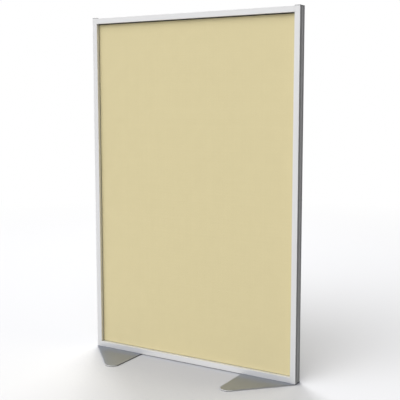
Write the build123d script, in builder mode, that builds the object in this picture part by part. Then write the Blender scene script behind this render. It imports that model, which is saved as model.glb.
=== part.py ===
"""Free-standing partition screen: a fabric-covered board framed by one aluminium extrusion, on two feet.

Frame of reference: X along the width, -Y towards the viewer, +Z up. The origin lies on the floor,
midway between the two ends and midway through the depth. All lengths are in millimetres.
"""
from build123d import *
from math import radians, tan
import os

# Overall size
overall_width = 1000.0
overall_height = 1500.0

# Frame extrusion, one section for stiles and rails
section_face = 24.0          # width seen from the front
section_depth = 43.0         # from front to back
wall = 1.6                   # walls round the hollow chambers
edge_radius = 1.2            # the four long outer edges of a bar
web_thickness = 8.0          # between the floors of the outer slot and the panel groove
thread_diameter = 5.0        # every screw in the screen
thread_clearance = 0.2       # on the diameter, between a screw and its tapped bore
port_wall = 1.5              # round the bores that run the length of the bar
port_root = 0.4              # how far a side port grows into the wall that carries it

# Outer slot: lips over a track for a cover strip, over a channel for screw heads and nuts
lip_thickness = 1.5
lip_overlap = 1.0
track_height = 1.8
channel_height = 3.7
channel_shoulder = 0.5
head_clearance = 0.75
slide_clearance = 0.2

# Panel: a board with fabric glued over each side
board_thickness = 8.0
fabric_thickness = 1.0
expansion_gap = 1.5          # left at the sides and the top

# Rubber channel round the edge of the panel
gasket_wall = 1.5
gasket_stand = 3.8           # how far the top one shows below the rail

# Corner screws, driven through the stiles into the ends of the rails
button_head_diameter = 9.5
button_head_height = 2.75
button_head_radius = 1.5
corner_screw_grip = 20.0
drill_clearance = 0.5        # on the diameter of the drilled holes
socket_width = 3.0           # across the flats of the hexagon key
socket_depth = 1.8

# Caps on the upper ends of the stiles
cap_thickness = 2.5
cap_radius = 0.8
peg_length = 12.0
peg_clearance = 0.3

# Feet: flat plates that the frame stands on
plate_thickness = 5.0
foot_leg = 246.0             # along the bottom rail
foot_angle = 45.0            # between the rail and the slanting edges
tip_radius = 32.0
plate_edge_radius = 0.8
sink_diameter = 10.4         # countersink at the floor side
sink_angle = 90.0
flat_head_diameter = 10.0
head_set_back = 0.2          # heads stay this far above the floor
stile_screw_length = 20.0
rail_screw_length = 10.0
rail_screw_inset = 36.0      # from each end of the nut bar's stretch to its screw

# Nut bars in the bottom rail
bar_end_margin = 18.0        # from a nut bar to the stile, and to the inner edge of the foot
bar_thickness = 4.6
bar_clearance = 0.2

# Sizes that follow from these
half_width = overall_width / 2
half_depth = section_depth / 2
frame_bottom = plate_thickness
frame_top = overall_height - cap_thickness
stile_length = frame_top - frame_bottom
rail_length = overall_width - 2 * section_face

channel_width = button_head_diameter + 2 * head_clearance
slot_opening = channel_width + 2 * channel_shoulder
track_width = slot_opening + 2 * lip_overlap
track_floor = lip_thickness + track_height
slot_depth = track_floor + channel_height
groove_depth = section_face - slot_depth - web_thickness
groove_floor = slot_depth + web_thickness
port_height = slot_depth + web_thickness / 2
bore_radius = thread_diameter / 2
screw_radius = (thread_diameter - thread_clearance) / 2

panel_thickness = board_thickness + 2 * fabric_thickness
groove_width = panel_thickness + 2 * gasket_wall
panel_entry = groove_depth - gasket_wall - expansion_gap
panel_width = rail_length + 2 * panel_entry
panel_bottom = frame_bottom + groove_floor + gasket_wall
panel_top = frame_top - groove_floor - gasket_wall - expansion_gap
panel_height = panel_top - panel_bottom

chamber_inside = max(track_width, groove_width) / 2 + wall
chamber_outside = half_depth - wall
chamber_height = section_face - 2 * wall
side_port_radius = bore_radius + port_wall
side_port_offset = chamber_outside - side_port_radius + port_root
side_port_height = section_face / 2


def draw_section():
    """Section of the extrusion: x across the depth, y inwards from the outer side of the frame.

    A rounded box holds the outer slot, the panel groove, a hollow chamber on each side that reaches
    in between slot and groove, and three screw ports: one in the middle and one in each chamber.
    """
    from_outside = (Align.CENTER, Align.MIN)
    Rectangle(section_depth, section_face, align=from_outside)
    fillet(vertices(), radius=edge_radius)
    Rectangle(slot_opening, lip_thickness, align=from_outside, mode=Mode.SUBTRACT)
    with Locations((0, lip_thickness)):
        Rectangle(track_width, track_height, align=from_outside, mode=Mode.SUBTRACT)
    with Locations((0, track_floor)):
        Rectangle(channel_width, channel_height, align=from_outside, mode=Mode.SUBTRACT)
    with Locations((0, groove_floor)):
        Rectangle(groove_width, groove_depth, align=from_outside, mode=Mode.SUBTRACT)
    arm_inside = bore_radius + port_wall
    for side in (-1, 1):
        with Locations((side * (chamber_inside + chamber_outside) / 2, section_face / 2)):
            Rectangle(chamber_outside - chamber_inside, chamber_height, mode=Mode.SUBTRACT)
        with Locations((side * (arm_inside + chamber_inside) / 2, port_height)):
            Rectangle(chamber_inside - arm_inside, web_thickness - 2 * wall, mode=Mode.SUBTRACT)
        with Locations((side * side_port_offset, side_port_height)):
            Circle(side_port_radius)
            Circle(bore_radius, mode=Mode.SUBTRACT)
    with Locations((0, port_height)):
        Circle(bore_radius, mode=Mode.SUBTRACT)


def stile_plane(side, height):
    """Level plane at one end of the frame, with y pointing inwards from its outer side."""
    return Plane(origin=(side * half_width, 0, height), x_dir=(0, side, 0), z_dir=(0, 0, 1))


def rail_plane(upright, height, length):
    """Upright plane at the left end of a bar along X; upright is 1 for y up, -1 for y down."""
    return Plane(origin=(-length / 2, 0, height), x_dir=(0, upright, 0), z_dir=(1, 0, 0))


def make_stile(side):
    """Stile: the extrusion at full height, drilled at both ends for the corner screws."""
    with BuildPart() as stile:
        with BuildSketch(stile_plane(side, frame_bottom)):
            draw_section()
        extrude(amount=stile_length)
        with BuildSketch(Plane(origin=(side * half_width, 0, 0), x_dir=(0, side, 0), z_dir=(side, 0, 0))):
            with Locations((0, frame_bottom + port_height), (0, frame_top - port_height)):
                Circle((thread_diameter + drill_clearance) / 2)
        extrude(amount=-groove_floor, mode=Mode.SUBTRACT)
    return stile


def make_rail(upright, height):
    """Rail: the extrusion cut square between the stiles, with its slot on the outer side."""
    with BuildPart() as rail:
        with BuildSketch(rail_plane(upright, height, rail_length)):
            draw_section()
        extrude(amount=rail_length)
    return rail


def make_layer(front, thickness):
    """One layer of the panel, from the Y of its front face."""
    with BuildPart() as layer:
        with BuildSketch(Plane.XZ.offset(-front)):
            with Locations((0, panel_bottom)):
                Rectangle(panel_width, panel_height, align=(Align.CENTER, Align.MIN))
        extrude(amount=-thickness)
    return layer


def draw_gasket(stand):
    """Section of the rubber channel in the groove; its two legs show by the length of stand."""
    leg = groove_depth + stand
    with Locations((0, groove_floor)):
        Rectangle(groove_width, leg, align=(Align.CENTER, Align.MIN))
    with Locations((0, groove_floor + gasket_wall)):
        Rectangle(panel_thickness, leg - gasket_wall, align=(Align.CENTER, Align.MIN), mode=Mode.SUBTRACT)


def make_side_gasket(side):
    """Rubber channel in a stile, as long as the edge of the panel in it."""
    with BuildPart() as gasket:
        with BuildSketch(stile_plane(side, panel_bottom)):
            draw_gasket(0)
        extrude(amount=panel_height)
    return gasket


def make_level_gasket(upright, height, stand):
    """Rubber channel in a rail, from stile to stile."""
    with BuildPart() as gasket:
        with BuildSketch(rail_plane(upright, height, rail_length)):
            draw_gasket(stand)
        extrude(amount=rail_length)
    return gasket


def draw_strip():
    """Section of the cover strip, which slides in the track under the lips."""
    with Locations((0, lip_thickness + slide_clearance / 2)):
        Rectangle(
            track_width - slide_clearance,
            track_height - slide_clearance,
            align=(Align.CENTER, Align.MIN),
        )


def make_stile_strip(side):
    """Cover strip of a stile, between the foot and the cap."""
    with BuildPart() as strip:
        with BuildSketch(stile_plane(side, frame_bottom)):
            draw_strip()
        extrude(amount=stile_length)
    return strip


def make_rail_strip(upright, height):
    """Cover strip of a rail, between the stiles."""
    with BuildPart() as strip:
        with BuildSketch(rail_plane(upright, height, rail_length)):
            draw_strip()
        extrude(amount=rail_length)
    return strip


def make_cap(side):
    """Cap of a stile: a plate over the whole section, on four pegs beside the side ports."""
    peg_depth = side_port_height - side_port_radius - wall - 2 * peg_clearance
    peg_width = chamber_outside - chamber_inside - 2 * peg_clearance
    peg_height = side_port_height - wall - peg_clearance - peg_depth / 2
    with BuildPart() as cap:
        with BuildSketch(stile_plane(side, frame_top)):
            Rectangle(section_depth, section_face, align=(Align.CENTER, Align.MIN))
            fillet(vertices(), radius=edge_radius)
        extrude(amount=cap_thickness)
        fillet(cap.faces().sort_by(Axis.Z)[-1].edges(), radius=cap_radius)
        with BuildSketch(stile_plane(side, frame_top)):
            with Locations((0, side_port_height)):
                with GridLocations(chamber_inside + chamber_outside, 2 * peg_height, 2, 2):
                    Rectangle(peg_width, peg_depth)
        extrude(amount=-peg_length)
    return cap


def make_corner_screws():
    """Four button-head screws, from the slots of the stiles into the middle ports of the rails."""
    length = web_thickness + groove_depth + corner_screw_grip
    screws = []
    for side in (-1, 1):
        for height in (frame_bottom + port_height, frame_top - port_height):
            seat = Plane(origin=(side * (half_width - slot_depth), 0, height), z_dir=(side, 0, 0))
            with BuildPart() as screw:
                with BuildSketch(seat):
                    Circle(button_head_diameter / 2)
                extrude(amount=button_head_height)
                head_top = screw.faces().sort_by(Axis.X)[-1 if side > 0 else 0]
                fillet(head_top.edges(), radius=button_head_radius)
                with BuildSketch(seat.offset(button_head_height)):
                    RegularPolygon(socket_width / 2, 6, major_radius=False)
                extrude(amount=-socket_depth, mode=Mode.SUBTRACT)
                with BuildSketch(seat):
                    Circle(screw_radius)
                extrude(amount=-length)
            screws.append(screw.part)
    return screws


def stile_screw_places(side):
    """Places under one stile where the foot is screwed to the side ports."""
    across = side * (half_width - side_port_height)
    return [(across, -side_port_offset), (across, side_port_offset)]


def rail_screw_places(side):
    """Places under the bottom rail where the foot is screwed to the nut bar."""
    outer = half_width - section_face - rail_screw_inset
    inner = half_width - foot_leg + rail_screw_inset
    return [(side * outer, 0), (side * inner, 0)]


def make_foot(side):
    """Foot plate: square to the frame at its inner edge, slanting from its outer end to two tips."""
    outside = side * half_width
    inside = side * (half_width - foot_leg)
    reach = half_depth + foot_leg * tan(radians(foot_angle))
    with BuildPart() as foot:
        with BuildSketch() as outline:
            with BuildLine():
                Polyline(
                    (outside, -half_depth),
                    (outside, half_depth),
                    (inside, reach),
                    (inside, -reach),
                    close=True,
                )
            make_face()
            fillet(outline.vertices().group_by(Axis.Y)[0], radius=tip_radius)
            fillet(outline.vertices().filter_by(lambda v: v.Y > half_depth), radius=tip_radius)
        extrude(amount=plate_thickness)
        fillet(foot.faces().sort_by(Axis.Z)[-1].edges(), radius=plate_edge_radius)
        with Locations(Plane.XY.rotated((180, 0, 0))):
            with Locations(*[(x, -y) for x, y in stile_screw_places(side) + rail_screw_places(side)]):
                CounterSinkHole(
                    (thread_diameter + drill_clearance) / 2,
                    sink_diameter / 2,
                    counter_sink_angle=sink_angle,
                )
    return foot


def make_flat_screws(places, length):
    """Countersunk screws standing under the given places, heads down, just clear of the floor."""
    head_height = (flat_head_diameter / 2 - screw_radius) / tan(radians(sink_angle / 2))
    screws = []
    for x, y in places:
        with BuildPart() as screw:
            with BuildSketch(Plane(origin=(x, y, head_set_back), x_dir=(1, 0, 0), z_dir=(0, -1, 0))):
                with BuildLine():
                    Polyline(
                        (0, 0),
                        (flat_head_diameter / 2, 0),
                        (screw_radius, head_height),
                        (screw_radius, length),
                        (0, length),
                        close=True,
                    )
                make_face()
            revolve(axis=Axis((x, y, 0), (0, 0, 1)))
            with BuildSketch(Plane(origin=(x, y, head_set_back))):
                RegularPolygon(socket_width / 2, 6, major_radius=False)
            extrude(amount=socket_depth, mode=Mode.SUBTRACT)
        screws.append(screw.part)
    return screws


def make_nut_bar(side):
    """Nut bar: wide where it hangs on the lips of the slot, narrow above, tapped for two screws."""
    bar_length = foot_leg - section_face - 2 * bar_end_margin
    centre = side * (half_width - section_face - bar_end_margin - bar_length / 2)
    bearing = track_height - bar_clearance
    start = Plane(
        origin=(centre - bar_length / 2, 0, frame_bottom + lip_thickness),
        x_dir=(0, 1, 0),
        z_dir=(1, 0, 0),
    )
    with BuildPart() as bar:
        with BuildSketch(start):
            Rectangle(track_width - 2 * bar_clearance, bearing, align=(Align.CENTER, Align.MIN))
            Rectangle(channel_width - 2 * bar_clearance, bar_thickness, align=(Align.CENTER, Align.MIN))
        extrude(amount=bar_length)
        with BuildSketch(Plane.XY.offset(frame_bottom + lip_thickness)):
            with Locations(*rail_screw_places(side)):
                Circle(bore_radius)
        extrude(amount=bar_thickness, mode=Mode.SUBTRACT)
    return bar


def save(shape, name):
    """Write one node, from a single piece or from a list of separate identical ones."""
    body = Compound(children=shape) if isinstance(shape, list) else shape.part
    body.label = name
    export_step(body, f"parts/{name}.step")


os.makedirs("parts", exist_ok=True)

for side, hand in ((-1, "left"), (1, "right")):
    save(make_stile(side), f"{hand}_stile")
    save(make_side_gasket(side), f"{hand}_gasket")
    save(make_stile_strip(side), f"{hand}_edge_strip")
    save(make_cap(side), f"{hand}_top_cap")
    save(make_foot(side), f"{hand}_foot_plate")
    save(make_nut_bar(side), f"{hand}_nut_bar")

save(make_rail(-1, frame_top), "top_rail")
save(make_rail(1, frame_bottom), "bottom_rail")
save(make_level_gasket(-1, frame_top, gasket_stand), "top_gasket")
save(make_level_gasket(1, frame_bottom, 0), "bottom_gasket")
save(make_rail_strip(-1, frame_top), "top_edge_strip")

save(make_layer(-board_thickness / 2, board_thickness), "panel_board")
save(make_layer(-panel_thickness / 2, fabric_thickness), "front_fabric")
save(make_layer(board_thickness / 2, fabric_thickness), "back_fabric")

save(make_corner_screws(), "corner_screws")
save(
    make_flat_screws(stile_screw_places(-1) + stile_screw_places(1), stile_screw_length),
    "foot_stile_screws",
)
save(
    make_flat_screws(rail_screw_places(-1) + rail_screw_places(1), rail_screw_length),
    "foot_rail_screws",
)
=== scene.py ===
"""Finish and picture of a free-standing partition screen.

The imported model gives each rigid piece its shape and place, in metres: X along the width, -Y
towards the viewer, +Z up. The sections follow the screen as it is put together, after the camera
that sees it.
"""
from math import cos, pi, radians, sin

import bmesh
import bpy
import numpy as np
from mathutils import Matrix, Vector


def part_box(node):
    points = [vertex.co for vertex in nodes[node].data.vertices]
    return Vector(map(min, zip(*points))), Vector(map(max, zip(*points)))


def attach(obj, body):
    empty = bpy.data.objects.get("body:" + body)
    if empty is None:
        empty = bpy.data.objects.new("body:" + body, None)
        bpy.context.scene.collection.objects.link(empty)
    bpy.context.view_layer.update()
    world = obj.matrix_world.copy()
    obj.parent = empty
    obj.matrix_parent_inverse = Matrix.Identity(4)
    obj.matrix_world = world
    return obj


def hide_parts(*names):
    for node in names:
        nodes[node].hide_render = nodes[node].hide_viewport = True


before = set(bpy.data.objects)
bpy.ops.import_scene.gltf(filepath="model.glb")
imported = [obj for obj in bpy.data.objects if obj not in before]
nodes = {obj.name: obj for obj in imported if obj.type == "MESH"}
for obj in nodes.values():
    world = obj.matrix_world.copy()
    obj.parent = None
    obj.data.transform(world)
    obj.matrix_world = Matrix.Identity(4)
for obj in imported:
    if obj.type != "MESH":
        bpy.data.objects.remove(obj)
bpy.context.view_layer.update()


# Camera, to the right of the screen and lower than its top edge. Its place and its lens were found
# from the perspective of the frame's edges. The lens axis meets the picture just above its middle.
camera_place = (1.7479, -2.8527, 1.1426)
camera_azimuth = radians(30.873)
camera_elevation = radians(6.679)
camera_roll = radians(-0.050)
focal_length = 71.32
sensor_width = 36.0
picture_side = 400.0
axis_row = 192.0
sight_end = 200.0

camera = bpy.data.objects.new("camera", bpy.data.cameras.new("camera"))
camera.data.lens = focal_length
camera.data.sensor_width = sensor_width
camera.data.shift_y = axis_row / picture_side - 0.5
camera.data.clip_end = sight_end
backward = Vector((
    sin(camera_azimuth) * cos(camera_elevation),
    -cos(camera_azimuth) * cos(camera_elevation),
    sin(camera_elevation),
))
rightward = Vector((0, 0, 1)).cross(backward).normalized()
upward = backward.cross(rightward)
turned = Matrix((rightward, upward, backward)).transposed() @ Matrix.Rotation(camera_roll, 3, "Z")
camera.matrix_world = Matrix.Translation(camera_place) @ turned.to_4x4()
bpy.context.scene.collection.objects.link(camera)
bpy.context.scene.camera = camera


# Panel board: 8 mm of fibreboard, sawn to size. It is covered on both sides, and only its sawn
# edges would be seen with the gaskets off.
mm = 0.001
board_colour = (0.36, 0.245, 0.14, 1)
board_dark = (0.235, 0.15, 0.08, 1)
fibre_size = 0.6 * mm
fibre_stretch = (3, 1, 3)
fibre_relief = 0.05 * mm


def new_finish(name, **shader_values):
    """A material with one shader, whose own sockets hold what is the same all over the surface."""
    finish = bpy.data.materials.new(name)
    finish.use_nodes = True
    tree = finish.node_tree
    tree.nodes.clear()
    shader = tree.nodes.new("ShaderNodeBsdfPrincipled")
    output = tree.nodes.new("ShaderNodeOutputMaterial")
    tree.links.new(shader.outputs["BSDF"], output.inputs["Surface"])
    for socket, value in shader_values.items():
        shader.inputs[socket.replace("_", " ")].default_value = value
    return finish, tree, shader


def feed(tree, kind, feeds, **settings):
    """A node with its settings, and each input fed by a value or by the output of another node."""
    made = tree.nodes.new(kind)
    for setting, value in settings.items():
        setattr(made, setting, value)
    for socket, value in feeds.items():
        if isinstance(value, bpy.types.NodeSocket):
            tree.links.new(value, made.inputs[socket])
        else:
            made.inputs[socket].default_value = value
    return made.outputs


def work_out(tree, operation, *values):
    """One step of arithmetic on numbers or on the outputs of other nodes."""
    return feed(tree, "ShaderNodeMath", dict(enumerate(values)), operation=operation)[0]


def blended(tree, share, first, second):
    """A colour between two others: the first where share is 0, the second where it is 1."""
    return feed(tree, "ShaderNodeMix", {0: share, 6: first, 7: second}, data_type="RGBA")[2]


def grains(tree, size, detail=2.0, stretch=(1, 1, 1)):
    """Noise on the piece's own coordinates. Size is the grain in metres, drawn out by stretch."""
    place = feed(tree, "ShaderNodeTexCoord", {})["Object"]
    shrunk = [1 / s for s in stretch]
    drawn = feed(tree, "ShaderNodeMapping", {"Vector": place, "Scale": shrunk})[0]
    feeds = {"Vector": drawn, "Scale": 1 / size, "Detail": detail}
    return feed(tree, "ShaderNodeTexNoise", feeds)[0]


def raised(tree, shader, height, depth):
    """The shader's normal follows a height between 0 and 1, which stands for depth in metres."""
    feeds = {"Height": height, "Distance": depth, "Strength": 1.0}
    normal = feed(tree, "ShaderNodeBump", feeds)[0]
    tree.links.new(normal, shader.inputs["Normal"])


def spread(tree, value, start, stop, first=0.0, last=1.0):
    """A value's way from start to stop, told as the way from first to last and held beyond both."""
    feeds = {0: value, 1: start, 2: stop, 3: first, 4: last}
    return feed(tree, "ShaderNodeMapRange", feeds)[0]


def put_on(finish, *names):
    """Gives these CAD pieces the finish."""
    for name in names:
        nodes[name].data.materials.clear()
        nodes[name].data.materials.append(finish)


fibreboard, tree, shader = new_finish("fibreboard", Roughness=0.85, Specular_IOR_Level=0.3)
fibres = grains(tree, fibre_size, detail=6.0, stretch=fibre_stretch)
tree.links.new(blended(tree, fibres, board_dark, board_colour), shader.inputs["Base Color"])
raised(tree, shader, fibres, fibre_relief)
put_on(fibreboard, "panel_board")


# Cloth: a plain weave of matt wool-like yarn, glued flat over both sides of the board, its cut
# edges held in the gaskets. Warp and weft are dyed a little unevenly, and the hollows between the
# yarns carry painted shade, so the beige is not flat.
cloth_light = (0.745, 0.66, 0.40, 1)
cloth_dark = (0.575, 0.50, 0.285, 1)
yarn_pitch = 1.1 * mm
yarn_depth = 0.12 * mm
yarn_crown = 0.4
hair_size = 0.15 * mm
hair_height, weave_height = 0.35, 0.8
dye_cloud = 60 * mm
# Painted shade in the weave's hollows, then the dye tone of each yarn and of larger patches.
painted_hollow_shade, yarn_shade, cloud_shade = 0.6, 0.12, 0.16
glue_wave = 0.08 * mm
wave_lengths = ((0.31, 0.47), (0.173, 0.229), (0.097, 0.131))
rim_steps = (0.0, 0.1, 0.35, 1.0)
steps_across, steps_up = 81, 121


def woven_finish():
    """A plain weave in the plane of the panel.

    With u and v counted in yarns, the warp lies on top where floor(u) + floor(v) is even and the
    weft where it is odd. A yarn's height is sin(pi * across), times 1 - c + c * sin(pi * along)
    for its crown c. The colour is darker where the yarns lie low: painted shade in the hollows of
    the weave. Each yarn has a shade of its own, and so have larger patches of the cloth.
    """
    finish, tree, shader = new_finish(
        "woven_cloth",
        Roughness=0.95,
        Specular_IOR_Level=0.2,
        Sheen_Weight=0.12,
        Sheen_Roughness=0.5,
    )
    place = feed(tree, "ShaderNodeTexCoord", {})["Object"]
    axes = feed(tree, "ShaderNodeSeparateXYZ", {0: place})
    numbers, rounds, dyes, heights = [], [], [], []
    for axis in ("X", "Z"):
        counted = work_out(tree, "DIVIDE", axes[axis], yarn_pitch)
        numbers.append(work_out(tree, "FLOOR", counted))
        half_turn = work_out(tree, "MULTIPLY", work_out(tree, "FRACT", counted), pi)
        rounds.append(work_out(tree, "SINE", half_turn))
        dye = feed(tree, "ShaderNodeTexWhiteNoise", {"W": numbers[-1]}, noise_dimensions="1D")
        dyes.append(dye["Value"])
    for across, along in (rounds, rounds[::-1]):
        crown = work_out(tree, "MULTIPLY_ADD", along, yarn_crown, 1 - yarn_crown)
        heights.append(work_out(tree, "MULTIPLY", across, crown))
    odd = work_out(tree, "PINGPONG", work_out(tree, "ADD", *numbers), 1.0)
    height, dye = (
        work_out(tree, "MULTIPLY_ADD", odd, work_out(tree, "SUBTRACT", weft, warp), warp)
        for warp, weft in (heights, dyes)
    )
    hair = grains(tree, hair_size)
    woven = work_out(tree, "MULTIPLY", height, weave_height)
    raised(tree, shader, work_out(tree, "MULTIPLY_ADD", hair, hair_height, woven), yarn_depth)
    cloudy = grains(tree, dye_cloud, detail=3.0)
    shade = work_out(tree, "MULTIPLY", dye, yarn_shade)
    # Painted shade: darker where the yarns lie low.
    shade = work_out(tree, "MULTIPLY_ADD", height, painted_hollow_shade, shade)
    shade = work_out(tree, "MULTIPLY_ADD", cloudy, cloud_shade, shade)
    tree.links.new(blended(tree, shade, cloth_dark, cloth_light), shader.inputs["Base Color"])
    return finish


def new_piece(name, points, faces, finish, smooth=True):
    """A shown piece from its points and faces, in the screen's own frame."""
    mesh = bpy.data.meshes.new(name)
    mesh.from_pydata(points.tolist(), [], faces)
    mesh.update()
    if smooth:
        mesh.shade_smooth()
    mesh.materials.append(finish)
    piece = bpy.data.objects.new(name, mesh)
    bpy.context.scene.collection.objects.link(piece)
    return piece


def cloth_layer(name, node, outward):
    """One glued layer of cloth as a closed surface over u across and v up the board.

    The outer face stands off the board by t * sqrt(1 - (1 - s)**2) - s * w. Here t is the cloth's
    thickness, s the distance from the rim in thicknesses, at most 1, and w the wave in the glue, a
    sum of products of sines. The glued face lies flat on the board and shares the rim's points.
    """
    low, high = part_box(node)
    thickness = high.y - low.y
    board_side = high.y if outward < 0 else low.y
    rim = np.array(rim_steps) * thickness
    u, v = (
        np.concatenate((first + rim, np.linspace(first, last, steps + 1)[1:-1], last - rim[::-1]))
        for first, last, steps in ((low.x, high.x, steps_across), (low.z, high.z, steps_up))
    )
    x, z = np.meshgrid(u, v, indexing="ij")
    inset = np.minimum.reduce((x - low.x, high.x - x, z - low.z, high.z - z))
    s = np.clip(inset / thickness, 0, 1)
    wave = sum(np.sin(x / a) * np.sin(z / b) for a, b in wave_lengths) / len(wave_lengths)
    stand = thickness * np.sqrt(1 - (1 - s) ** 2) - s * glue_wave * (0.5 + 0.5 * wave)
    outer = np.stack((x, board_side + outward * stand, z), axis=-1).reshape(-1, 3)
    index = np.arange(x.size).reshape(x.shape)
    inner = index + x.size
    inner[[0, -1], :] = index[[0, -1], :]
    inner[:, [0, -1]] = index[:, [0, -1]]
    glued = np.stack((x, np.full_like(x, board_side), z), axis=-1).reshape(-1, 3)
    points, faces = np.concatenate((outer, glued)), []
    for grid, turned_over in ((index, outward > 0), (inner, outward < 0)):
        corners = (grid[:-1, :-1], grid[1:, :-1], grid[1:, 1:], grid[:-1, 1:])
        quads = np.stack(corners, axis=-1).reshape(-1, 4)
        faces.append(quads[:, ::-1] if turned_over else quads)
    faces = np.concatenate(faces)
    used, faces = np.unique(faces, return_inverse=True)
    piece = new_piece(name, points[used], faces.reshape(-1, 4).tolist(), woven_cloth)
    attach(piece, "root")
    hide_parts(node)


woven_cloth = woven_finish()
cloth_layer("front_cloth", "front_fabric", -1)
cloth_layer("back_cloth", "back_fabric", 1)


# Gaskets: black rubber channels, extruded in one section and pushed over the four edges of the
# panel. Their rounded lips stand out to show as a thin dark line in the reveal and as a black band
# under the top rail, and these stand partly for the shade there. Barbs hold them in the grooves.
rubber_colour = (0.012, 0.012, 0.012, 1)
rubber_bloom = (0.035, 0.035, 0.036, 1)
bloom_size = 9 * mm
rubber_grain = 0.2 * mm
rubber_relief = 0.01 * mm
rubber_wall = 1.5 * mm
rubber_crease = radians(35)
skin_wall = 1.05 * mm
barb_pitch = 1.9 * mm
barb_count = 3
barb_root, barb_crest, barb_back = 0.35, 0.85, 0.95
base_round = 0.4 * mm
base_steps = 4
lip_steps = 9
# How far the lips stand out: their dark line stands partly for the shade in the reveal.
lip_shade_line_stand = 0.8 * mm


def arc(middle, radius, start, stop, steps):
    """Points at equal angles on a circle: middle + radius * (cos a, sin a)."""
    a = np.radians(np.linspace(start, stop, steps))
    return np.array(middle) + radius * np.stack((np.cos(a), np.sin(a)), axis=-1)


def channel_outline(half_width, leg):
    """Half of a U section, from the middle of its base round one leg and back, as (across, up).

    The leg ends in a half circle as wide as the wall. Below it the outer side runs at skin_wall
    from the inner one, and in each barb pitch it leans out to the full width and then drops back.
    """
    inner = half_width - rubber_wall
    outer = inner + skin_wall
    barbs = [
        (across, base_round + barb_pitch * (count + rise))
        for count in range(barb_count)
        for across, rise in ((outer, barb_root), (half_width, barb_crest), (outer, barb_back))
    ]
    lip_round = rubber_wall / 2
    return np.concatenate((
        arc((outer - base_round, base_round), base_round, -90, 0, base_steps),
        barbs,
        arc((half_width - lip_round, leg - lip_round), lip_round, 0, 180, lip_steps),
        arc((inner - base_round, rubber_wall + base_round), base_round, 0, -90, base_steps),
    ))


def carried(outline, place, run):
    """A closed outline carried from one end of a run to the other, with both ends closed.

    Point (j, k) is place(outline point j) with the k-th end of the run along the bar.
    """
    count = len(outline)
    points = np.concatenate([place(outline, end) for end in run])
    j = np.arange(count)
    sides = np.stack((j, (j + 1) % count, (j + 1) % count + count, j + count), axis=-1)
    return points, sides.tolist() + [j[::-1].tolist(), (j + count).tolist()]


def facing_out(mesh):
    """Turns the faces of a closed mesh so that they all point outwards."""
    shape = bmesh.new()
    shape.from_mesh(mesh)
    bmesh.ops.recalc_face_normals(shape, faces=shape.faces)
    shape.to_mesh(mesh)
    shape.free()


def rubber_channel(name, node, along, inwards, stands=lip_shade_line_stand):
    """One gasket: half its section, mirrored and carried along the whole edge of the panel.

    Point j of the outline stands at base + inwards * up(j), and across(j) from the panel's middle.
    Its lips stand out of the groove by the amount given, further than the solid that they replace,
    so that their black shows as a dark line that stands partly for shade.
    """
    low, high = (np.array(corner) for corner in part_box(node))
    across_bar = 2 - along
    base = low[across_bar] if inwards > 0 else high[across_bar]
    half = channel_outline(high[1], high[across_bar] - low[across_bar] + stands)
    outline = np.concatenate((half, half[::-1] * (-1, 1)))

    def place(flat, end):
        points = np.zeros((len(flat), 3))
        points[:, 1] = flat[:, 0]
        points[:, across_bar] = base + inwards * flat[:, 1]
        points[:, along] = end
        return points

    points, faces = carried(outline, place, (low[along], high[along]))
    piece = new_piece(name, points, faces, gasket_rubber)
    facing_out(piece.data)
    piece.data.set_sharp_from_angle(angle=rubber_crease)
    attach(piece, "root")
    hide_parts(node)


gasket_rubber, tree, shader = new_finish("gasket_rubber", Roughness=0.62, Specular_IOR_Level=0.4)
bloom = grains(tree, bloom_size, detail=4.0)
tree.links.new(blended(tree, bloom, rubber_colour, rubber_bloom), shader.inputs["Base Color"])
raised(tree, shader, grains(tree, rubber_grain), rubber_relief)
rubber_channel("left_lip", "left_gasket", along=2, inwards=1)
rubber_channel("right_lip", "right_gasket", along=2, inwards=-1)
rubber_channel("bottom_lip", "bottom_gasket", along=0, inwards=1)
# The top gasket's black band stands partly for the shade under the top rail.
rubber_channel("top_lip", "top_gasket", along=0, inwards=-1, stands=0.0)


# Frame: one aluminium extrusion with a satin anodised skin, for two rails and two stiles. The die
# leaves fine lines along each bar, and the saw leaves its ends brighter and rougher.
bar_colour = (0.79, 0.79, 0.795, 1)
bar_shade = (0.74, 0.74, 0.747, 1)
cut_colour = (0.80, 0.80, 0.80, 1)
# Patches on the long outer edges: partly wear, partly a painted highlight.
worn_highlight_colour = (0.86, 0.86, 0.86, 1)
bar_metal = 0.65
bar_rough, line_rough, worn_highlight_rough, cut_rough = 0.44, 0.12, -0.1, 0.12
bar_relief = 0.006 * mm
die_line, die_stretch = 0.25 * mm, 400.0
skin_cloud, cloud_stretch = 45 * mm, 5.0
line_tone, cloud_tone = 0.5, 0.5
worn_highlight_patch, worn_highlight_above = 12 * mm, 0.52
saw_pitch, saw_wander = 0.9 * mm, 1.5
waves_in_unit = 3
end_facing = 0.9
bar_face = 24 * mm
bar_depth = 43 * mm
bar_edge = 1.2 * mm


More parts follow.
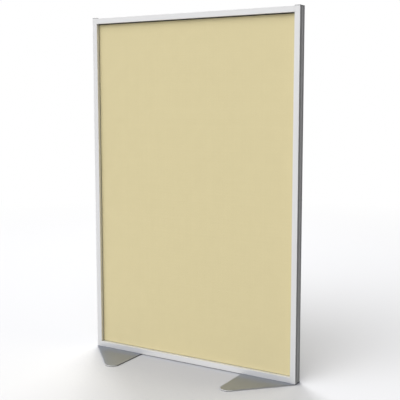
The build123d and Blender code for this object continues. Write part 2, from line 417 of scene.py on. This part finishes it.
def anodised_finish(name, along, across, middle, half_gap):
    """Satin anodised skin for both bars along one axis, half_gap to each side of the middle.

    Die lines are noise drawn out along the bar. A point's distance from the bar's own middle plane
    is | |p - middle| - half_gap |, and it lies on a long outer edge where that distance and its
    depth together come within the edge's radius of the section's corner. Patches along these edges
    are lighter and smoother: partly wear, partly a painted highlight on the arrises.
    """
    finish, tree, shader = new_finish(name, Metallic=bar_metal)
    lines_drawn, cloud_drawn = [1.0] * 3, [1.0] * 3
    lines_drawn[along], cloud_drawn[along] = die_stretch, cloud_stretch
    lines = grains(tree, die_line, detail=3.0, stretch=lines_drawn)
    cloud = grains(tree, skin_cloud, detail=3.0, stretch=cloud_drawn)
    place = feed(tree, "ShaderNodeTexCoord", {})
    axes = feed(tree, "ShaderNodeSeparateXYZ", {0: place["Object"]})
    facing = feed(tree, "ShaderNodeSeparateXYZ", {0: place["Normal"]})
    cut = work_out(tree, "GREATER_THAN", work_out(tree, "ABSOLUTE", facing[along]), end_facing)
    off_middle = work_out(tree, "ABSOLUTE", work_out(tree, "SUBTRACT", axes[across], middle))
    off_bar = work_out(tree, "ABSOLUTE", work_out(tree, "SUBTRACT", off_middle, half_gap))
    reach = work_out(tree, "ADD", off_bar, work_out(tree, "ABSOLUTE", axes["Y"]))
    edge_start = bar_face / 2 + bar_depth / 2 - bar_edge
    edge = spread(tree, reach, edge_start, edge_start + bar_edge / 2)
    # Lighter patches on the outer edges: partly wear, partly a painted highlight.
    patch = work_out(tree, "GREATER_THAN", grains(tree, worn_highlight_patch, detail=4.0), worn_highlight_above)
    worn_highlight = work_out(tree, "MULTIPLY", edge, patch)
    toned = work_out(tree, "MULTIPLY", cloud, cloud_tone)
    toned = work_out(tree, "MULTIPLY_ADD", lines, line_tone, toned)
    colour = blended(tree, toned, bar_shade, bar_colour)
    colour = blended(tree, worn_highlight, colour, worn_highlight_colour)
    colour = blended(tree, cut, colour, cut_colour)
    tree.links.new(colour, shader.inputs["Base Color"])
    rough = bar_rough
    for where, rougher in ((lines, line_rough), (worn_highlight, worn_highlight_rough), (cut, cut_rough)):
        rough = work_out(tree, "MULTIPLY_ADD", where, rougher, rough)
    tree.links.new(rough, shader.inputs["Roughness"])
    teeth = feed(
        tree,
        "ShaderNodeTexWave",
        {
            "Vector": place["Object"],
            "Scale": 1 / (waves_in_unit * saw_pitch),
            "Distortion": saw_wander,
            "Detail": 2.0,
        },
        wave_type="RINGS",
        rings_direction="SPHERICAL",
    )[1]
    relief = work_out(tree, "MULTIPLY_ADD", cut, work_out(tree, "SUBTRACT", teeth, lines), lines)
    raised(tree, shader, relief, bar_relief)
    return finish


left_low, left_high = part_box("left_stile")
right_low, right_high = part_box("right_stile")
lower_low, lower_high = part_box("bottom_rail")
upper_low, upper_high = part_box("top_rail")
stile_spacing = (right_low.x + right_high.x - left_low.x - left_high.x) / 4
rail_middle = (lower_low.z + lower_high.z + upper_low.z + upper_high.z) / 4
rail_spacing = (upper_low.z + upper_high.z - lower_low.z - lower_high.z) / 4
put_on(anodised_finish("anodised_stile", 2, 0, 0.0, stile_spacing), "left_stile", "right_stile")
put_on(anodised_finish("anodised_rail", 0, 2, rail_middle, rail_spacing), "top_rail", "bottom_rail")


# Screws: zinc-plated M5 with rolled threads. Button heads hold the corners, through the stiles into
# the rails' middle ports. Countersunk ones hold the feet, two in the stile and two in a nut bar.
zinc_bright = (0.72, 0.73, 0.75, 1)
zinc_dull = (0.52, 0.53, 0.55, 1)
zinc_mottle = 1.5 * mm
zinc_rough, mottle_rough = 0.22, 0.2
zinc_grain = 0.1 * mm
zinc_relief = 0.004 * mm
zinc_crease = radians(30)
thread_pitch = 0.8 * mm
thread_radius = 2.4 * mm
thread_root = 1.95 * mm
thread_form = ((0.0, 1.0), (0.12, 1.0), (0.45, 0.0), (0.67, 0.0))
tip_round = 0.45 * mm
key_width = 3.0 * mm
key_depth = 1.8 * mm
button_radius = 4.75 * mm
button_height = 2.75 * mm
button_round = 1.5 * mm
button_steps = 6
corner_reach = 37 * mm
flat_radius = 5.0 * mm
nut_bar_screws = (440 * mm, 290 * mm)
points_round = 24
weld = 0.001 * mm


def screw_grid(head, length):
    """A screw as one surface over the angle a and the row, head down, its head's top at height 0.

    The rows run from the middle of the socket floor over the head and down to the middle of the
    tip. The socket's radius is half its width over cos(a - 30 degrees), repeated every 60 degrees.
    On the thread the height is pitch * (row + a / 360), and the radius follows the form, faded at
    both ends.
    """
    a = np.linspace(0, 2 * pi, points_round + 1)
    level = np.ones_like(a)
    key = key_width / 2 / np.cos(a % (pi / 3) - pi / 6)
    rows = [(0 * a, key_depth * level), (key, key_depth * level), (key, 0 * a)]
    rows += [(radius * level, height * level) for radius, height in head]
    start, stop = head[-1][1] + tip_round, length - tip_round
    for turn in range(-1, int((stop - start) / thread_pitch) + 2):
        for step, crest in thread_form:
            height = start + thread_pitch * (turn + step + a / (2 * pi))
            fade = np.clip(np.minimum(height - start, stop - height) / thread_pitch, 0, 1)
            radius = thread_root + (thread_radius - thread_root) * crest * fade
            rows.append((radius, np.clip(height, start, stop)))
    rows += [((thread_root - tip_round) * level, length * level), (0 * a, length * level)]
    radius, height = (np.array(part) for part in zip(*rows))
    return np.stack((radius * np.cos(a), radius * np.sin(a), height), axis=-1)


def welded(grids):
    """Triangles over all the grids, equal points made one and empty triangles left out."""
    points, faces, first = [], [], 0
    for grid in grids:
        index = first + np.arange(grid[..., 0].size).reshape(grid.shape[:2])
        p, q, r, s = index[:-1, :-1], index[1:, :-1], index[1:, 1:], index[:-1, 1:]
        faces += [np.stack(corners, axis=-1).reshape(-1, 3) for corners in ((p, q, r), (p, r, s))]
        points.append(grid.reshape(-1, 3))
        first += index.size
    places = np.round(np.concatenate(points) / weld).astype(int)
    kept, number = np.unique(places, axis=0, return_inverse=True)
    faces = number.reshape(-1)[np.concatenate(faces)]
    a, b, c = faces.T
    return kept * weld, faces[(a != b) & (b != c) & (c != a)].tolist()


def screws(name, node, head, length, places):
    """Like screws as one piece. A place is the head's top and the ways that it points and lies."""
    grids = []
    for top, inwards, across in places:
        inwards, across = np.array(inwards, float), np.array(across, float)
        grids.append(screw_grid(head, length) @ (across, np.cross(inwards, across), inwards) + top)
    points, faces = welded(grids)
    piece = new_piece(name, points, faces, zinc_plate)
    facing_out(piece.data)
    piece.data.set_sharp_from_angle(angle=zinc_crease)
    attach(piece, "root")
    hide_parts(node)


zinc_plate, tree, shader = new_finish("zinc_plate", Metallic=1.0)
mottle = grains(tree, zinc_mottle, detail=5.0)
rough = work_out(tree, "MULTIPLY_ADD", mottle, mottle_rough, zinc_rough)
tree.links.new(blended(tree, mottle, zinc_dull, zinc_bright), shader.inputs["Base Color"])
tree.links.new(rough, shader.inputs["Roughness"])
raised(tree, shader, grains(tree, zinc_grain), zinc_relief)
put_on(zinc_plate, "left_nut_bar", "right_nut_bar")

button_middle = (button_radius - button_round, button_round)
button_rim = arc(button_middle, button_round, -90, 0, button_steps)
button_head = [*button_rim, (button_radius, button_height), (thread_root, button_height)]
low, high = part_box("corner_screws")
places = [
    ((side * high.x, 0, height), (-side, 0, 0), (0, 1, 0))
    for side in (-1, 1)
    for height in (low.z + button_radius, high.z - button_radius)
]
screws("corner_bolts", "corner_screws", button_head, button_height + corner_reach, places)

flat_cone = [(radius, flat_radius - radius) for radius in (thread_radius, thread_root)]
flat_head = [(flat_radius, 0.0), *flat_cone]
low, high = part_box("foot_stile_screws")
places = [
    ((x, y, low.z), (0, 0, 1), (1, 0, 0))
    for x in (low.x + flat_radius, high.x - flat_radius)
    for y in (low.y + flat_radius, high.y - flat_radius)
]
screws("foot_stile_bolts", "foot_stile_screws", flat_head, high.z - low.z, places)
low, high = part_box("foot_rail_screws")
places = [((side * x, 0, low.z), (0, 0, 1), (1, 0, 0)) for side in (-1, 1) for x in nut_bar_screws]
screws("foot_rail_bolts", "foot_rail_screws", flat_head, high.z - low.z, places)


# Cover strips: matt grey plastic, extruded flat and slid into the outer slots of both stiles and
# of the top rail, where they lie a little below the metal.
strip_colour = (0.76, 0.76, 0.76, 1)
strip_shade = (0.70, 0.70, 0.701, 1)
strip_line, strip_stretch = 0.3 * mm, 200
strip_relief = 0.01 * mm


def strip_finish(name, stretch):
    """Extruded plastic with faint lines drawn out along the strip."""
    finish, tree, shader = new_finish(name, Roughness=0.55, Specular_IOR_Level=0.4)
    lines = grains(tree, strip_line, stretch=stretch)
    tree.links.new(blended(tree, lines, strip_shade, strip_colour), shader.inputs["Base Color"])
    raised(tree, shader, lines, strip_relief)
    return finish


put_on(strip_finish("upright_strip", (1, 1, strip_stretch)), "left_edge_strip", "right_edge_strip")
put_on(strip_finish("level_strip", (strip_stretch, 1, 1)), "top_edge_strip")


# Top caps: moulded grey plastic, pressed into the chambers of the stiles by four pegs. The tool
# was spark-eroded, which gives a fine even grain.
cap_colour = (0.30, 0.30, 0.305, 1)
cap_shade = (0.26, 0.26, 0.265, 1)
spark_size = 0.25 * mm
spark_relief = 0.015 * mm

moulded_cap, tree, shader = new_finish("moulded_cap", Roughness=0.5, Specular_IOR_Level=0.45)
spark_grain = grains(tree, spark_size, detail=3.0)
tree.links.new(blended(tree, spark_grain, cap_shade, cap_colour), shader.inputs["Base Color"])
raised(tree, shader, spark_grain, spark_relief)
put_on(moulded_cap, "left_top_cap", "right_top_cap")


# Foot plates: 5 mm steel, brushed along the screen. The laser leaves fine upright lines on the cut
# edges. The edges that face along the screen, the inner one among them, are painted near black as
# shade. The faces are painted darker near the frame and lighter towards the tips as shade, and the
# tips' upper arris carries a painted highlight with a painted shadow below it.
plate_bright = (0.457, 0.485, 0.561, 1)
plate_dull = (0.280, 0.298, 0.344, 1)
edge_bright = (0.44, 0.44, 0.445, 1)
edge_dull = (0.30, 0.30, 0.305, 1)
# Painted shade: the edges that face along the screen are painted near black.
side_shade_colour = (0.10, 0.10, 0.105, 1)
# Painted highlight on the tips' upper arris, with a painted shadow below it.
painted_highlight_edge = (0.94, 0.94, 0.94, 1)
painted_shadow_edge = (0.14, 0.14, 0.14, 1)
plate_rough, brush_rough, edge_rough = 0.43, 0.14, -0.03
plate_metal, edge_metal = 1.0, 0.5
plate_relief = 0.01 * mm
brush_line, brush_stretch = 0.2 * mm, (150, 1, 1)
stain_size = 50 * mm
laser_line, laser_stretch = 0.3 * mm, (1, 1, 60)
brush_tone, stain_tone = 0.3, 0.2
# Painted shade: the faces are darker near the frame and lighter towards the tips.
frame_shade_from, frame_shade_beyond, frame_shade_share = 40 * mm, 150 * mm, 0.37
painted_tip_from, painted_tip_beyond = 205 * mm, 212 * mm
highlight_above = 2.4 * mm
face_lean = 0.3
side_shade_facing = 0.95

brushed_plate, tree, shader = new_finish("brushed_plate")
brushing = grains(tree, brush_line, detail=3.0, stretch=brush_stretch)
stains = grains(tree, stain_size, detail=3.0)
cut_lines = grains(tree, laser_line, stretch=laser_stretch)
place = feed(tree, "ShaderNodeTexCoord", {})
facing = feed(tree, "ShaderNodeSeparateXYZ", {0: place["Normal"]})
upright = work_out(tree, "LESS_THAN", work_out(tree, "ABSOLUTE", facing["Z"]), face_lean)
# Painted shade on the edges that face along the screen.
side_shade = work_out(tree, "GREATER_THAN", work_out(tree, "ABSOLUTE", facing["X"]), side_shade_facing)
axes = feed(tree, "ShaderNodeSeparateXYZ", {0: place["Object"]})
off_frame = work_out(tree, "ABSOLUTE", axes["Y"])
# Painted shade: the faces are darker near the frame and lighter towards the tips.
frame_shade_fade = spread(tree, off_frame, frame_shade_from, frame_shade_beyond, last=frame_shade_share)
# Painted highlight and painted shadow on the tip edges, above and below the arris.
painted_tip = spread(tree, off_frame, painted_tip_from, painted_tip_beyond)
arris = work_out(tree, "GREATER_THAN", axes["Z"], highlight_above)
toned = work_out(tree, "MULTIPLY_ADD", stains, stain_tone, frame_shade_fade)
toned = work_out(tree, "MULTIPLY_ADD", brushing, brush_tone, toned)
colour = blended(tree, toned, plate_dull, plate_bright)
edge = blended(tree, side_shade, blended(tree, cut_lines, edge_dull, edge_bright), side_shade_colour)
edge = blended(tree, painted_tip, edge, blended(tree, arris, painted_shadow_edge, painted_highlight_edge))
tree.links.new(blended(tree, upright, colour, edge), shader.inputs["Base Color"])
metal = work_out(tree, "MULTIPLY_ADD", upright, edge_metal - plate_metal, plate_metal)
tree.links.new(metal, shader.inputs["Metallic"])
rough = work_out(tree, "MULTIPLY_ADD", brushing, brush_rough, plate_rough)
rough = work_out(tree, "MULTIPLY_ADD", upright, edge_rough, rough)
tree.links.new(rough, shader.inputs["Roughness"])
relief = work_out(tree, "SUBTRACT", cut_lines, brushing)
relief = work_out(tree, "MULTIPLY_ADD", upright, relief, brushing)
raised(tree, shader, relief, plate_relief)
put_on(brushed_plate, "left_foot_plate", "right_foot_plate")


# Floor: a plain white studio floor, far wider than the picture. It sends a plain grey back to the
# screen. The camera sees it lighter, shaded close to the screen and plain white far from it. The
# metal sees it light too, a little dimmer close to the screen and dark beyond its right end.
floor_half = 60.0
floor_colour = (0.35, 0.35, 0.35, 1)
seen_floor = (0.649, 0.650, 0.661, 1)
shaded_floor = (0.474, 0.481, 0.518, 1)
shade_reach = 6.0
shade_start, shade_end = 0.60, 0.74
white_from, white_beyond = 2.2, 5.8
mirrored_near, mirrored_far = 0.74, 0.85
mirror_from, mirror_beyond = 0.02, 0.22
fall_from, fall_beyond, fallen = 0.46, 0.56, 0.1

floor_finish, tree, shader = new_finish("studio_floor", Roughness=1.0, Specular_IOR_Level=0.0)
shader.inputs["Base Color"].default_value = floor_colour
paths = feed(tree, "ShaderNodeLightPath", {})
place = feed(tree, "ShaderNodeTexCoord", {})["Object"]
openness = feed(tree, "ShaderNodeAmbientOcclusion", {"Distance": shade_reach})["AO"]
openness = spread(tree, openness, shade_start, shade_end)
shaded = blended(tree, openness, shaded_floor, seen_floor)
lighter = feed(tree, "ShaderNodeBsdfDiffuse", {"Color": shaded})[0]
distance = feed(tree, "ShaderNodeVectorMath", {0: place}, operation="LENGTH")["Value"]
far = feed(
    tree,
    "ShaderNodeMapRange",
    {0: distance, 1: white_from, 2: white_beyond},
    interpolation_type="SMOOTHSTEP",
)[0]
white = feed(tree, "ShaderNodeEmission", {"Strength": 1.0})[0]
lighter = feed(tree, "ShaderNodeMixShader", {0: far, 1: lighter, 2: white})[0]
axes = feed(tree, "ShaderNodeSeparateXYZ", {0: place})
sides = work_out(tree, "ABSOLUTE", axes["Y"])
near = spread(tree, sides, mirror_from, mirror_beyond, mirrored_near, mirrored_far)
past_end = work_out(tree, "ADD", axes["X"], axes["Y"])
lit = spread(tree, past_end, fall_from, fall_beyond, 1.0, fallen)
mirrored = feed(tree, "ShaderNodeEmission", {"Strength": work_out(tree, "MULTIPLY", near, lit)})[0]
seen = work_out(tree, "ADD", paths["Is Camera Ray"], paths["Is Transmission Ray"])
mixed = feed(tree, "ShaderNodeMixShader", {0: seen, 1: shader.outputs["BSDF"], 2: lighter})[0]
mixed = feed(tree, "ShaderNodeMixShader", {0: paths["Is Glossy Ray"], 1: mixed, 2: mirrored})[0]
tree.links.new(mixed, tree.nodes["Material Output"].inputs["Surface"])
corners = np.array(((-1, -1, 0), (1, -1, 0), (1, 1, 0), (-1, 1, 0)), float) * floor_half
floor = new_piece("studio_floor", corners, [(0, 1, 2, 3)], floor_finish, smooth=False)


# Light: two broad glows of a dome round the screen, the stronger one from the front, and three high
# softboxes, one in front and two behind on the left. The camera sees a white dome and no softbox,
# and so does the metal, but for a dim part of the dome at the right.
dome_glows = (
    ((-0.579, 0.579, 0.574), 2.0, 0.406),
    ((-0.198, -0.74, 0.643), 6.0, 4.116),
)
dim_from, dim_beyond, dimmed = -0.2, 0.35, 0.06
softboxes = (
    ("left_softbox", (-3.01, 3.01, 8.06), 1.8, 359.0),
    ("high_softbox", (0.74, -4.16, 6.73), 4.2, 106.0),
    ("back_softbox", (-1.80, 3.85, 8.06), 1.8, 132.0),
)
aimed_at = (0.0, 0.0, 0.7)


def softbox(name, place, side, power):
    """A square area lamp turned to face the screen, which no reflection shows."""
    lamp = bpy.data.lights.new(name, "AREA")
    lamp.shape = "RECTANGLE"
    lamp.size = lamp.size_y = side
    lamp.energy = power
    stand = bpy.data.objects.new(name, lamp)
    away = Vector(place) - Vector(aimed_at)
    turned = away.to_track_quat("Z", "Y").to_matrix().to_4x4()
    stand.matrix_world = Matrix.Translation(place) @ turned
    stand.visible_glossy = False
    bpy.context.scene.collection.objects.link(stand)


world = bpy.data.worlds.new("studio")
world.use_nodes = True
tree = world.node_tree
tree.nodes.clear()
paths = feed(tree, "ShaderNodeLightPath", {})
way = feed(tree, "ShaderNodeTexCoord", {})["Object"]
glow = 0.0
for toward, narrowness, strength in dome_glows:
    facing = feed(tree, "ShaderNodeVectorMath", {0: way, 1: toward}, operation="DOT_PRODUCT")
    facing = work_out(tree, "MAXIMUM", facing["Value"], 0.0)
    facing = work_out(tree, "POWER", facing, narrowness)
    glow = work_out(tree, "MULTIPLY_ADD", facing, strength, glow)
sideways = feed(tree, "ShaderNodeSeparateXYZ", {0: way})["X"]
mirrored = spread(tree, sideways, dim_from, dim_beyond, 1.0, dimmed)
strength = feed(tree, "ShaderNodeMix", {0: paths["Is Glossy Ray"], 2: glow, 3: mirrored})[0]
seen = work_out(tree, "ADD", paths["Is Camera Ray"], paths["Is Transmission Ray"])
strength = feed(tree, "ShaderNodeMix", {0: seen, 2: strength, 3: 1.0})[0]
dome = feed(tree, "ShaderNodeBackground", {"Color": (1, 1, 1, 1), "Strength": strength})[0]
output = tree.nodes.new("ShaderNodeOutputWorld")
tree.links.new(dome, output.inputs["Surface"])
bpy.context.scene.world = world
for name, place, side, power in softboxes:
    softbox(name, place, side, power)
bpy.context.scene.view_settings.view_transform = "Standard"
